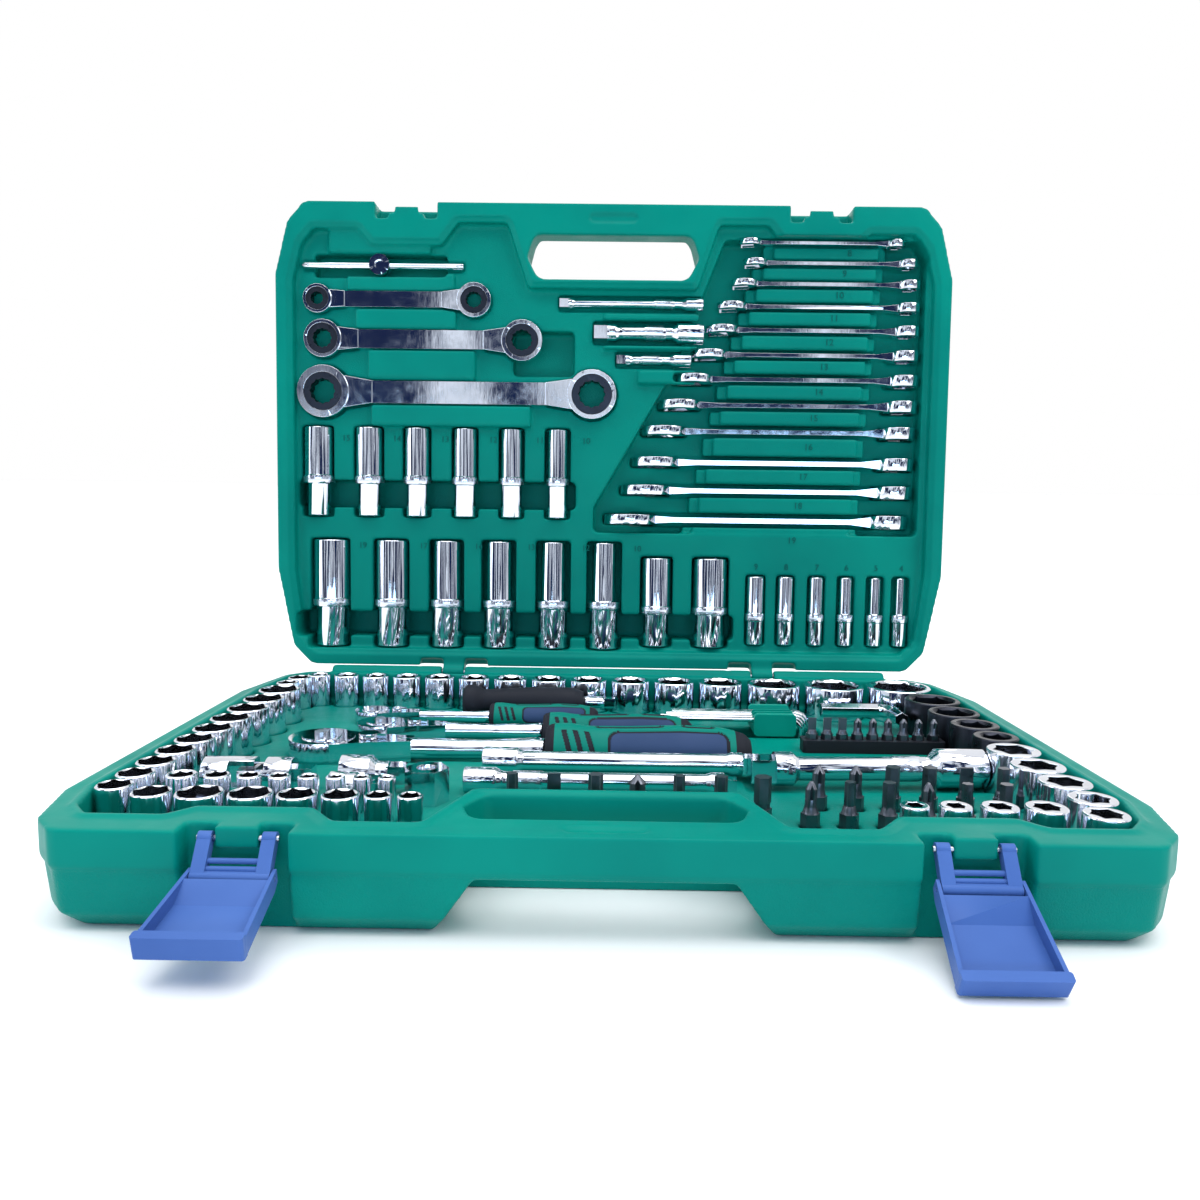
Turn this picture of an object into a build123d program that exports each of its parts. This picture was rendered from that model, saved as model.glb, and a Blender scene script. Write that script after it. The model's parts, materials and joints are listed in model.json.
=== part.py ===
"""A socket wrench set in its blow-moulded carrying case, lid open.

World frame in millimetres: origin at the centre of the base's underside, +X to the
right, +Y towards the hinge, +Z up.  Lid pieces are drawn in the lid's own frame
(x, distance from the hinge edge, height above the lid's rim plane) and then placed.
"""
from build123d import *
from math import cos, radians, sin, sqrt
import os

os.makedirs("parts", exist_ok=True)

# ---------------------------------------------------------------- driving dimensions
CASE_WIDTH = 480.0
CASE_DEPTH = 329.0
BASE_HEIGHT = 44.0
LID_HEIGHT = 48.0
BAND = 16.0            # smooth band under each rim
FOOT = 8.0             # chamfer round the outer bottom edge
RIM_GAP = 0.4          # parting gap between the closed halves
TRAY_Z = 25.0          # floor of the base's tray
STORE_TOP = 46.0       # highest point of anything stored in the base
LID_FIELD = -10.0      # general floor of the lid's moulding, below its rim plane
LID_BLOCK = -5.0       # top of the lid's raised blocks
BACK_Y = CASE_DEPTH / 2
FRONT_Y = -CASE_DEPTH / 2
FIT = 0.5              # room round a stored tool in its pocket
SHORT = 38.0           # length of the short sockets
BEAD_W = 3.2           # raised bead round the base's tray
BEAD_H = 1.4
RUNNING = 0.06         # play round every pin
RING_PROUD = 0.8       # how far a deep socket's knurled ring stands out

HINGE_Y = BACK_Y + 4.5
HINGE_Z = BASE_HEIGHT
OPEN_ANGLE = 92.5
HINGE_AXIS = Axis((0, HINGE_Y, HINGE_Z), (1, 0, 0))
HINGE_CENTRES = (-112.0, 112.0)
KNUCKLE_R = 4.2
KNUCKLE_W = 16.0
HINGE_PIN_R = 1.5
WEB_HEIGHT = 9.0
KNUCKLE_HALF = 7.8     # half a knuckle's length, a little under half its pitch
# stretches of the base's rear edge between and beside the knuckles that carry a round ridge
RIDGES = ((-200.0, -137.5), (-86.5, 86.5), (137.5, 200.0))

LATCH_X = 146.5
LATCH_RECESS_W = 43.5
LATCH_RECESS = 11.5    # how far the recess goes in from the front face
LID_RECESS_HEIGHT = 17.0
TONGUE_W = 17.6
TONGUE_BACK = 5.5      # tongue's front face, behind the case's front face
LATCH_PIN_Y = -157.0
LATCH_PIN_Z = 39.0
PIN_R = 1.2
LINK_LENGTH = 16.0
LINK_WIDTH = 31.4
ARM_W = 5.6
LINK_REST = 235.0      # direction of the hanging link, turned from +Y towards +Z
LEVER_LENGTH = 41.0
LEVER_REST = {"left": 192.0, "right": 209.0}

HANDLE_HOLE = [(53, 277), (61, 292), (55.5, 307.5)]
HANDLE_BAR = 19.0      # height of the grip bar

pockets = []           # what is taken out of the base's tray
lid_pockets = []       # what is taken out of the lid's moulding
lid_blocks = []        # what stands on the lid's moulding


# ---------------------------------------------------------------- helpers
def hexagon(across_flats):
    return RegularPolygon(across_flats / sqrt(3), 6)


def star(across, lobes=6):
    """Outline of a lobed drive recess."""
    points = []
    for step in range(lobes * 2):
        reach = across / 2 * (1.0 if step % 2 == 0 else 0.78)
        angle = radians(180 * step / lobes)
        points.append((reach * cos(angle), reach * sin(angle)))
    return make_face(Polyline(*points, close=True))


def mirrored(half):
    """Close a half outline given from x = 0 outwards."""
    return half + [(-x, y) for x, y in reversed(half)]


def rounded_face(points, radius):
    return make_face(FilletPolyline(*points, radius=radius, close=True))


def prism(face, low, high):
    return extrude(Pos(0, 0, low) * face, amount=high - low)


def block(x0, x1, y0, y1, z0, z1):
    return Pos((x0 + x1) / 2, (y0 + y1) / 2, (z0 + z1) / 2) * Box(x1 - x0, y1 - y0, z1 - z0)


def soft_block(x0, x1, y0, y1, z0, z1, radius=3.0):
    radius = min(radius, 0.45 * (x1 - x0), 0.45 * (y1 - y0))
    face = Pos((x0 + x1) / 2, (y0 + y1) / 2) * RectangleRounded(x1 - x0, y1 - y0, radius)
    return prism(face, z0, z1)


def turned(profile):
    """Revolve (radius, height) points about Z."""
    return revolve(Plane.XZ * make_face(Polyline(*profile, close=True)), Axis.Z)


def rod(radius, low, high):
    return Pos(0, 0, low) * Cylinder(radius, high - low, align=(Align.CENTER, Align.CENTER, Align.MIN))


def along_x(shape):
    """Lay a shape that stands on Z along +X."""
    return Rot(0, 90, 0) * shape


def along_y(shape):
    """Lay a shape that stands on Z along +Y."""
    return Rot(-90, 0, 0) * shape


def join(shapes):
    shapes = list(shapes)
    return shapes[0].fuse(*shapes[1:]) if len(shapes) > 1 else shapes[0]


def cut(shape, tools):
    return shape.cut(*tools)


def solids_of(shapes):
    found = []
    for shape in shapes:
        found.extend(shape.solids())
    return found


def save(node, *shapes):
    solids = solids_of(shapes)
    export_step(solids[0] if len(solids) == 1 else Compound(children=solids), f"parts/{node}.step")


def in_lid(shape):
    """Place a shape of the lid's frame on the open lid."""
    closed = Pos(0, BACK_Y, BASE_HEIGHT + RIM_GAP) * Rot(180, 0, 0) * shape
    return closed.rotate(HINGE_AXIS, -OPEN_ANGLE)


# ---------------------------------------------------------------- the case halves
def outline(inset):
    corner = 0.6 * inset
    half = [(216 - corner, inset), (229 - inset, 14 + corner), (240 - inset, 70), (240 - inset, 278),
            (231 - inset, 315 - corner), (219 - corner, CASE_DEPTH - inset)]
    return rounded_face(mirrored(half), 7)


def interior():
    half = [(212, 11.5), (222, 22), (228, 69), (228, 275), (222, 300), (213, 311), (181, 311),
            (172, 300), (122, 300), (110, 316), (75, 316), (60, 271)]
    return rounded_face(mirrored(half), 4)


def bead(grow, height):
    """The raised bead round the tray, or with more grow the lid's groove for it."""
    inner = offset(interior(), 0.4 - grow)
    return prism(offset(interior(), BEAD_W + grow), 0, height) - prism(inner, -1, height + 1)


def shell_half(height, recess_height):
    """One case half: rim plane at z = 0, outer wall below it, y from the hinge edge."""
    lower_top = outline(1.2)
    lower_low = outline(3.0)
    foot_low = outline(3.0 + FOOT)
    body = prism(outline(0), -BAND, 0)
    body += loft([Pos(0, 0, -BAND) * lower_top, Pos(0, 0, FOOT - height) * lower_low], ruled=True)
    body += loft([Pos(0, 0, FOOT - height) * lower_low, Pos(0, 0, -height) * foot_low], ruled=True)
    under = make_face(Polyline((-52, -HANDLE_BAR), (52, -HANDLE_BAR), (70, -height - 1),
                               (-70, -height - 1), close=True))
    tools = [prism(rounded_face(mirrored(HANDLE_HOLE), 7), -height, 1),
             Pos(0, 275, 0) * extrude(Plane.XZ * under, amount=-60)]
    half_width = LATCH_RECESS_W / 2
    for x in (-LATCH_X, LATCH_X):
        tools.append(block(x - half_width, x + half_width, CASE_DEPTH - LATCH_RECESS,
                           CASE_DEPTH + 1, -recess_height, 1))
    return cut(body, tools)


def knuckle(x0, x1, above):
    """A hinge knuckle and its web to the body, in the closed position."""
    low, high = (RIM_GAP, WEB_HEIGHT) if above else (-WEB_HEIGHT, 0.0)
    web = block(x0, x1, BACK_Y - 3, HINGE_Y - 1, HINGE_Z + low, HINGE_Z + high)
    barrel = Pos(x0, HINGE_Y, HINGE_Z) * along_x(rod(KNUCKLE_R, 0, x1 - x0))
    return barrel + web


def hinge_bores():
    reach = 1.5 * KNUCKLE_W + 1
    return [Pos(x - reach, HINGE_Y, HINGE_Z) * along_x(rod(HINGE_PIN_R + RUNNING, 0, 2 * reach))
            for x in HINGE_CENTRES]


def knuckle_room(above):
    """Clearance in one half for the other half's knuckles."""
    room = []
    for centre in HINGE_CENTRES:
        for slot in ((-1.5, -0.5), (0.5, 1.5)) if above else ((-0.5, 0.5),):
            room.append(Pos(centre + slot[0] * KNUCKLE_W - 0.5, HINGE_Y, HINGE_Z) * along_x(
                rod(KNUCKLE_R + 5.5, 0, KNUCKLE_W + 1)))
    return room


# ---------------------------------------------------------------- sockets
def socket(size, outer, length, drive, recess="hex", foot=None, ring=False):
    """A socket standing on its drive end."""
    foot = foot or outer
    lip = 0.6
    step = length * 0.42
    profile = [(0, 0), (foot / 2 - lip, 0), (foot / 2, lip)]
    if ring:
        ring_r = max(foot, outer) / 2 + RING_PROUD
        profile += [(foot / 2, step - 4), (ring_r, step - 3.4), (ring_r, step + 2), (outer / 2, step + 2.6)]
    elif foot != outer:
        profile += [(foot / 2, step - 2), (outer / 2, step + 1)]
    profile += [(outer / 2, length - lip), (outer / 2 - lip, length), (0, length)]
    body = turned(profile)
    shape = star(size) if recess == "star" else hexagon(size)
    depth = min(length * 0.45, size * 1.1 + 3)
    tools = [prism(shape, length - depth, length + 1),
             prism(Rectangle(drive, drive), -1, length * 0.4)]
    if recess == "hex":
        lead = 1.6
        mouth = min(size / sqrt(3) + 0.5, outer / 2 - 1.0)
        tools.append(turned([(0, length - lead), (mouth - lead, length - lead), (mouth, length),
                             (mouth, length + 1), (0, length + 1)]))
    if depth > 6:
        tools.append(rod(min(size, drive) * 0.4, length * 0.3, length - depth + 1))
    return cut(body, tools)


# ---------------------------------------------------------------- base contents
def row_positions(outers, start, gap):
    """Centres of round things set side by side from start."""
    centres = []
    edge = start
    for outer in outers:
        centres.append(edge + outer / 2)
        edge += outer + gap
    return centres


def hole_for(x, y, outer, bottom):
    pockets.append(Pos(x, y, 0) * rod(outer / 2 + FIT, bottom, TRAY_Z + 1))


def place_sockets(items, drive, recess="hex", length=SHORT):
    """items: (size, outer diameter, x, y). Returns the placed sockets."""
    placed = []
    for size, outer, x, y in items:
        bottom = STORE_TOP - length
        placed.append(Pos(x, y, bottom) * socket(size, outer, length, drive, recess))
        hole_for(x, y, outer, bottom)
    return placed


def half_inch_row():
    sizes = list(range(10, 21)) + [22, 27, 30, 32]
    outers = [1.2 * size + 4.4 for size in sizes]
    xs = row_positions(outers, -210.5, 2.45)
    return [(s, d, x, 152 - d / 2) for s, d, x in zip(sizes, outers, xs)]


def left_column():
    sizes = range(22, 12, -1)
    outers = [1.1 * size + 1.8 for size in sizes]
    ys = row_positions(outers, -105.5, 1.7)
    items = [(s, d, -226.5 + d / 2, -y) for s, d, y in zip(sizes, outers, ys)]
    return items + [(12, 15.0, -213.0, 132.0), (11, 14.4, -215.5, 114.5)]


def front_left_rows():
    first = [(14, 17.0, -198), (17, 20.6, -177), (16, 19.4, -154.8), (14, 17.6, -134.4),
             (13, 16.6, -115.4), (9, 12.2, -99), (8, 11.2, -85)]
    items = [(s, d, x, -121.0) for s, d, x in first]
    second = [(10, 14.0), (9, 12.0), (8, 11.0), (7, 10.2), (6, 9.6), (5.5, 9.0), (5, 8.4), (4.5, 8.0)]
    xs = row_positions([d for _, d in second], -203.0, 3.4)
    return items + [(s, d, x, -95.0) for (s, d), x in zip(second, xs)]


def impact_column():
    return [(s, d, 226.5 - d / 2, y) for s, d, y in
            ((24, 34, 89), (21, 30, 55), (17, 27, 24.5), (14, 24, -3))]


def star_sockets():
    column = [(22, 27, 226.5 - 13.5, -30.5), (20, 26, 226.5 - 13, -59), (18, 24, 226.5 - 12, -86),
              (16, 21, 226 - 10.5, -110.5), (14.5, 19, 211, -131.5)]
    front = [(12.5, 18, 189.5, -123.5), (11, 16, 169.5, -123.5), (9, 14, 150.5, -123.5),
             (8, 12.4, 133, -123.5)]
    return column + front


def bit(kind, size, length, shank=8.0):
    """A screwdriver bit standing on its hexagonal shank."""
    grip = length * 0.5
    body = prism(hexagon(shank), 0, grip)
    tip_r = size / 2
    body += Pos(0, 0, grip) * Cone(shank / 2 * 0.95, tip_r, length * 0.12,
                                   align=(Align.CENTER, Align.CENTER, Align.MIN))
    low = grip + length * 0.12
    if kind == "slot":
        tip = prism(Rectangle(size, 1.4), low - 1, length)
    elif kind == "cross":
        point = turned([(0, low - 1), (tip_r, low - 1), (tip_r, length * 0.88), (0.7, length), (0, length)])
        tip = cut(point, [Rot(0, 0, 45 + 90 * n) * block(tip_r * 0.42, tip_r + 1, tip_r * 0.42,
                                                        tip_r + 1, length * 0.72, length + 1)
                          for n in range(4)])
    elif kind == "star":
        tip = prism(star(size), low - 1, length)
    else:
        tip = prism(hexagon(size), low - 1, length)
    return body + tip


def standing_bits():
    """Thick bits in the tray: seven behind the handle and two rows at the right."""
    middle = ("star", "slot", "star", "cross", "star", "star", "hex")
    back = ("cross", "cross", "hex", "hex", "slot", "star")
    front = ("cross", "star", "hex", "cross", "star", "hex")
    placed = []
    spots = [(-44 + 19.6 * n, -86.0, kind, 5.5 + 0.8 * (n % 4)) for n, kind in enumerate(middle)]
    spots += [(104 + 18.0 * n, -66.0, kind, 6.2) for n, kind in enumerate(back)]
    spots += [(95 + 18.0 * n, -92.0, kind, 5.4) for n, kind in enumerate(front)]
    for x, y, kind, size in spots:
        placed.append(Pos(x, y, STORE_TOP - 30) * bit(kind, size, 30.0))
        pockets.append(Pos(x, y, 0) * prism(Circle(8.0 / sqrt(3) + FIT), STORE_TOP - 30, TRAY_Z + 1))
    return placed


# ---------------------------------------------------------------- ratchets
# name, scale against the largest, drive square, head centre x and y
RATCHETS = (("half_inch", 1.0, 12.7, -163.0, 14.0),
            ("three_eighths", 0.78, 9.5, -139.0, 56.0),
            ("quarter_inch", 0.6, 6.35, -153.0, 93.0))
RATCHET_Z = 29.2


def ratchet(scale, drive):
    """Ratchet pieces with the head's centre at the origin and the grip along +X."""
    f = scale
    head = prism(Circle(18.5 * f), -6.5 * f, 6.5 * f)
    neck = make_face(Polyline((6 * f, 17.2 * f), (30 * f, 9.5 * f), (52 * f, 6.2 * f), (52 * f, -6.2 * f),
                              (30 * f, -9.5 * f), (6 * f, -17.2 * f), close=True))
    body = head + prism(neck, -6.0 * f, 6.0 * f)
    shank = turned([(0, 44 * f), (6.4 * f, 44 * f), (5.6 * f, 92 * f), (7.2 * f, 124 * f),
                    (7.2 * f, 128 * f), (4.5 * f, 128 * f), (4.5 * f, 220 * f), (0, 220 * f)])
    body = body + along_x(shank)
    gear_r = 11.0 * f
    body -= prism(Circle(gear_r + RUNNING), -8 * f, 8 * f)
    pawl_x = 27.0 * f
    body -= Pos(pawl_x, 0) * prism(Circle(2.5 * f + RUNNING), 3.0 * f, 8 * f)
    grip_profile = [(0, 128.3 * f), (13.5 * f, 128.3 * f), (15.8 * f, 131 * f), (16.2 * f, 142 * f),
                    (14.6 * f, 154 * f), (14.8 * f, 176 * f), (15.8 * f, 205 * f), (15.0 * f, 228 * f),
                    (12.0 * f, 241 * f), (7.0 * f, 246 * f), (0, 246 * f)]
    grip = along_x(cut(turned(grip_profile), [rod(4.5 * f, 120 * f, 220.2 * f)]))
    gear = prism(Circle(gear_r), -7.0 * f, 7.2 * f)
    gear += prism(Rectangle(drive, drive), -7.0 * f - drive * 1.15, -6.9 * f)
    gear -= prism(Circle(4.0 * f + RUNNING), 2.0 * f, 8 * f)
    button = prism(Circle(4.0 * f), 4.2 * f, 9.6 * f)
    thumb_disc = prism(Circle(5.6 * f), 6.3 * f, 9.0 * f)
    lever = Pos(pawl_x, 0) * (thumb_disc + prism(Circle(2.5 * f), 3.4 * f, 7 * f))
    lever += Pos(pawl_x + 4.5 * f, 0, 7.65 * f) * Box(11 * f, 4.2 * f, 2.7 * f)
    return {"body": body, "grip": grip, "drive": gear, "button": button, "selector": lever}


def ratchet_pocket(scale, drive, x, y):
    f = scale
    grow = 1.5
    pockets.append(Pos(x, y) * prism(Circle(18.5 * f + grow), RATCHET_Z - 6.5 * f - 0.6, TRAY_Z + 1))
    square_floor = RATCHET_Z - 7.0 * f - drive * 1.15 - 0.8
    pockets.append(Pos(x, y) * prism(Circle(drive * 0.72 + 1), square_floor, TRAY_Z))
    neck_floor = RATCHET_Z - 6.6 * f - 0.6
    pockets.append(soft_block(x + 5 * f, x + 30 * f, y - 17 * f - grow, y + 17 * f + grow,
                              neck_floor, TRAY_Z + 1))
    pockets.append(soft_block(x + 20 * f, x + 60 * f, y - 12.5 * f, y + 12.5 * f, neck_floor, TRAY_Z + 1))
    pockets.append(soft_block(x + 50 * f, x + 135 * f, y - 7.2 * f - grow, y + 7.2 * f + grow,
                              RATCHET_Z - 7.2 * f - 0.6, TRAY_Z + 1))
    grip_r = 16.2 * f
    pockets.append(soft_block(x + 127 * f - grow, x + 246 * f + grow, y - grip_r - grow, y + grip_r + grow,
                              RATCHET_Z - grip_r - 0.6, TRAY_Z + 1))


# ---------------------------------------------------------------- bars, keys and adapters
def extension(length, radius, end_radius, drive, knurl=False):
    """Extension bar along +Z: square at the top, socket end at the bottom."""
    end = end_radius * 2.4
    body = turned([(0, 0), (end_radius - 0.5, 0), (end_radius, 0.5), (end_radius, end), (radius, end + 4),
                   (radius, length - end), (end_radius * 0.85, length - end + 3),
                   (end_radius * 0.85, length - drive), (0, length - drive)])
    body += prism(Rectangle(drive - 0.4, drive - 0.4), length - drive - 1, length)
    if knurl:
        body += rod(radius + 0.5, end + 9, end + 24)
    return cut(body, [prism(Rectangle(drive, drive), -1, drive)])


def lay_bar(shape, x, y, z, angle=0.0):
    return Pos(x, y, z) * Rot(0, 0, angle) * along_x(shape)


def bar_pocket(x, y, z, length, radius, angle=0.0):
    trench = block(-1.5, length + 1.5, -radius - 1, radius + 1, z - radius - 0.5, TRAY_Z + 1)
    pockets.append(Pos(x, y, 0) * Rot(0, 0, angle) * trench)


def base_bars():
    """The long half inch bar and two lighter ones."""
    long_bar = Rot(0, 0, 180) * lay_bar(extension(124, 6.2, 10.5, 12.7, True), 0, 0, 0)
    placed = [Pos(199, -26, 34) * Rot(0, 0, 3) * long_bar,
              lay_bar(extension(148, 5.4, 7.5, 9.5), -66, -21, 33),
              lay_bar(extension(138, 4.6, 6.6, 6.35, True), -72, -50, 31)]
    pockets.append(Pos(199, -26, 0) * Rot(0, 0, 3) * block(-126, 1.5, -11.5, 11.5, 23, TRAY_Z + 1))
    bar_pocket(-66, -21, 33, 148, 7.5)
    bar_pocket(-72, -50, 31, 138, 6.6)
    return placed


KEY_SIZES = (2.5, 3.0, 4.0, 5.0)
KEY_Y = 72.0           # the front key
KEY_PITCH = 5.6


def hex_keys():
    """Nested L keys: long legs to the left, short legs turned down."""
    placed = []
    for n, size in enumerate(KEY_SIZES):
        y = KEY_Y + KEY_PITCH * n
        x_turn = 122 + 2.0 * n
        path = FilletPolyline((30 + 4 * n, y, 35), (x_turn, y, 35), (x_turn, y, 12), radius=7)
        placed.append(sweep(Plane((30 + 4 * n, y, 35), z_dir=(1, 0, 0)) * hexagon(size), path))
    big = FilletPolyline((140, 98, 36), (186, 98, 36), (186, 74, 36), radius=9)
    placed.append(sweep(Plane((140, 98, 36), z_dir=(1, 0, 0)) * hexagon(8), big))
    pockets.append(block(26, 137, 68, 93, 10, TRAY_Z + 1))
    return placed


def key_holder(keys):
    body = Pos(105, 80.4, 33) * Box(26, 30, 14)
    body = chamfer(body.edges().filter_by(Axis.Y), 1.5)
    grooves = []
    for n, size in enumerate(KEY_SIZES):
        y = KEY_Y + KEY_PITCH * n
        half = 0.6 * size + 0.4
        grooves.append(block(90, 120, y - half, y + half, 34 - 0.6 * size, 41))
    return cut(body, grooves)


def bit_rack():
    """A strip that holds nine small bits."""
    top, foot = 32.5, 26.5
    strip = soft_block(116, 200, 32, 44, TRAY_Z, top, 2)
    xs = [122 + 9.0 * n for n in range(9)]
    strip = cut(strip, [Pos(x, 38, 0) * prism(Circle(6.35 / sqrt(3) + 0.1), foot, top + 1) for x in xs])
    kinds = ["slot"] * 3 + ["cross"] * 6
    small = [Pos(x, 38, foot) * bit(kind, 4.6, 18.5, 6.2) for x, kind in zip(xs, kinds)]
    return strip, small


def adapters():
    """Two drive adapters and the faceted coupler."""
    faceted = prism(hexagon(19), 0, 17) - prism(Rectangle(9.5, 9.5), -1, 9) - rod(5, 8, 18)
    step_up = turned([(0, 0), (9, 0), (9, 15), (6, 18), (6, 24), (0, 24)])
    step_up += prism(Rectangle(9.3, 9.3), 23, 33)
    step_down = turned([(0, 0), (7.5, 0), (7.5, 13), (4.6, 16), (4.6, 20), (0, 20)])
    step_down += prism(Rectangle(6.3, 6.3), 19, 27)
    placed = [Pos(-88, -66, STORE_TOP - 17 - 4) * faceted,
              Pos(-134, -50, 34) * along_x(step_up - prism(Rectangle(12.7, 12.7), -1, 10)),
              Pos(-134, -71, 33) * along_x(step_down - prism(Rectangle(9.5, 9.5), -1, 8))]
    pockets.append(Pos(-134, -50, 0) * block(-1, 34, -10, 10, 24, TRAY_Z + 1))
    return placed


def universal_joint():
    """Two forks and the cross between them, lying along X."""
    radius, throat, arm_half, arm_end = 9.0, 13.2, 4.2, 25.6
    pin_height, pin_r, pin_length = 22.0, 2.0, 17.6
    gap_half = 5.5
    fork = rod(radius, 0, throat - 0.2) + block(-radius, radius, -arm_half, arm_half, throat - 1.2, arm_end)
    fork = fork & rod(radius, -1, 40)
    fork -= block(-gap_half, gap_half, -12, 12, throat, 40)
    pin_hole = Pos(0, 0, pin_height) * Rot(0, 90, 0) * Cylinder(pin_r + RUNNING, 40)
    fork -= pin_hole
    first = along_x(fork - prism(Rectangle(9.5, 9.5), -1, 10))
    second_fork = Rot(0, 0, 90) * fork + prism(Rectangle(9.3, 9.3), -10, 0.1)
    second = Pos(2 * pin_height, 0, 0) * Rot(0, -90, 0) * second_fork
    centre = Box(8.6, 8.6, 8.6)
    cross = centre + Cylinder(pin_r, pin_length) + Rot(90, 0, 0) * Cylinder(pin_r, pin_length)
    cross = Pos(pin_height, 0, 0) * cross
    spot = Pos(-200, -58, 34.5)
    pockets.append(Pos(-200, -58, 0) * block(-2, 56, -11, 11, 24.0, TRAY_Z + 1))
    return spot * first, spot * cross, spot * second


def spinner():
    profile = [(0, 0), (8.5, 0), (10.5, 2), (10.5, 8), (7.6, 14), (8.4, 26), (9.8, 50), (9.6, 74),
               (7, 80), (0, 80)]
    shaft = rod(4.0, 80, 94) + prism(Rectangle(6.3, 6.3), 93, 101)
    handle = Pos(-96, 112.5, 35.6) * along_x(turned(profile))
    bar_pocket(-96, 112.5, 35.6, 101, 10.5)
    return handle, Pos(-96, 112.5, 35.6) * along_x(shaft)


# ---------------------------------------------------------------- lid contents
def lid_lying(shape, x, v, z, length, radius):
    """A round tool lying upright in the lid's frame, its foot towards the hinge."""
    lid_pockets.append(block(x - radius - FIT, x + radius + FIT, v - 1, v + length + 1, z - radius - FIT, 1))
    return Pos(x, v, z) * along_y(shape)


def deep_half():
    sizes = (19, 17, 14, 13, 12, 10)
    xs = (-204.5, -160, -119.5, -81, -41, -3.5)
    placed = []
    for size, x in zip(sizes, xs):
        outer = max(1.28 * size + 2.2, 17)
        shape = socket(size, outer, 78, 12.7, foot=20.5 + size * 0.15, ring=True)
        placed.append(lid_lying(shape, x, 12.5, -16.5, 78, max(outer, 23.4) / 2 + RING_PROUD))
    return placed


def spark_plug():
    placed = []
    for size, x, outer in ((16, 35, 21.5), (21, 74.5, 25)):
        shape = socket(size, outer, 65, 12.7, foot=outer - 2, ring=True)
        placed.append(lid_lying(shape, x, 15, -16.5, 65, outer / 2 + RING_PROUD))
    return placed


def deep_three_eighths():
    placed = []
    for size, x in zip((15, 14, 13, 12, 11, 10), (-213, -176, -141, -106, -72, -38.5)):
        outer = 1.2 * size + 2.6
        shape = socket(size, outer, 64, 9.5, foot=min(outer, 16.5), ring=True)
        placed.append(lid_lying(shape, x, 108, -13.5, 64, max(outer, 16.5) / 2 + RING_PROUD))
    return placed


def deep_quarter():
    placed = []
    for size, x in zip((9, 8, 7, 6, 5, 4), (107.5, 129.5, 152, 173.5, 195, 213.5)):
        outer = 1.1 * size + 2.4
        shape = socket(size, outer, 50, 6.35, foot=max(outer, 10.5), ring=True)
        placed.append(lid_lying(shape, x, 17.5, -11.5, 50, max(outer, 10.5) / 2 + RING_PROUD))
    return placed


# size, x of the open end, x of the ring end, distance from the hinge edge
WRENCHES = ((8, 89.5, 208.5, 306), (9, 92.5, 218.5, 292), (10, 84, 221, 277.5), (11, 74.5, 221.5, 261.5),
            (12, 67, 222, 245), (13, 57, 222.5, 227.5), (14, 45, 223, 210), (15, 34.5, 223, 191.5),
            (16, 22.5, 222.5, 172.5), (17, 15.5, 222.5, 150), (18, 7.5, 222.5, 129.5), (19, -4.5, 220, 108))


def wrench(size, length):
    """A combination wrench, open end at x = 0, flat in XY."""
    jaw_r = 1.02 * size
    ring_r = 0.74 * size + 0.8
    jaw_t = 0.3 * size + 1.4
    ring_t = 0.42 * size + 1.6
    shank_w = 0.62 * size + 1
    jaw = Pos(jaw_r, 0) * prism(Circle(jaw_r), -jaw_t / 2, jaw_t / 2)
    jaw -= Pos(jaw_r, 0) * Rot(0, 0, 15) * block(-2 * jaw_r, size * 0.35, -size / 2, size / 2, -jaw_t, jaw_t)
    ring = Pos(length - ring_r, 0) * prism(Circle(ring_r), -ring_t / 2, ring_t / 2)
    shank_t = 0.13 * size + 1.3
    neck = 0.6 * size + 3
    half_side = [(jaw_r * 1.6, 0.45 * jaw_t), (jaw_r * 2 + neck, shank_t / 2),
                 (length - ring_r * 2 - neck, shank_t / 2), (length - ring_r * 1.6, 0.45 * ring_t)]
    side = half_side + [(x, -thick) for x, thick in reversed(half_side)]
    shank = extrude(Plane.XZ * make_face(Polyline(*side, close=True)), amount=shank_w / 2, both=True)
    body = jaw + ring + shank
    return body - Pos(length - ring_r, 0) * prism(hexagon(size), -ring_t, ring_t)


def combination_wrenches():
    placed = []
    for size, x0, x1, v in WRENCHES:
        length = x1 - x0
        jaw_r = 1.02 * size
        ring_r = 0.74 * size + 0.8
        shank_w = 0.62 * size + 1
        z = -3.5 - jaw_r
        on_edge = Pos(x0, v, z) * Rot(90, 0, 0) * wrench(size, length)
        placed.append(on_edge)
        jaw_t = (0.3 * size + 1.4) / 2 + FIT
        ring_t = (0.42 * size + 1.6) / 2 + FIT
        lid_pockets.append(block(x0 - 1, x0 + 2 * jaw_r + 1, v - jaw_t, v + jaw_t, z - jaw_r - FIT, 1))
        lid_pockets.append(block(x1 - 2 * ring_r - 1, x1 + 1, v - ring_t, v + ring_t, z - ring_r - FIT, 1))
        lid_pockets.append(block(x0 + jaw_r, x1 - ring_r, v - ring_t, v + ring_t, z - shank_w / 2 - FIT, 1))
    return placed


def rib_blocks():
    """A stepped rib under each combination wrench."""
    for n, (size, x0, x1, v) in enumerate(WRENCHES):
        left = 112 - 4.7 * n + (3 if n == 0 else 0)
        below = WRENCHES[n + 1][3] if n < 11 else v - 20
        pitch = v - below
        right = 190 - 1.4 * n
        lid_blocks.append(soft_block(left, right, v - 0.82 * pitch, v - 0.1 * pitch, -26, -11, 1.5))
        lid_blocks.append(soft_block(left - 7, right + 6, v - 0.86 * pitch, v - 0.06 * pitch, -26, -16, 1.5))


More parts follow.
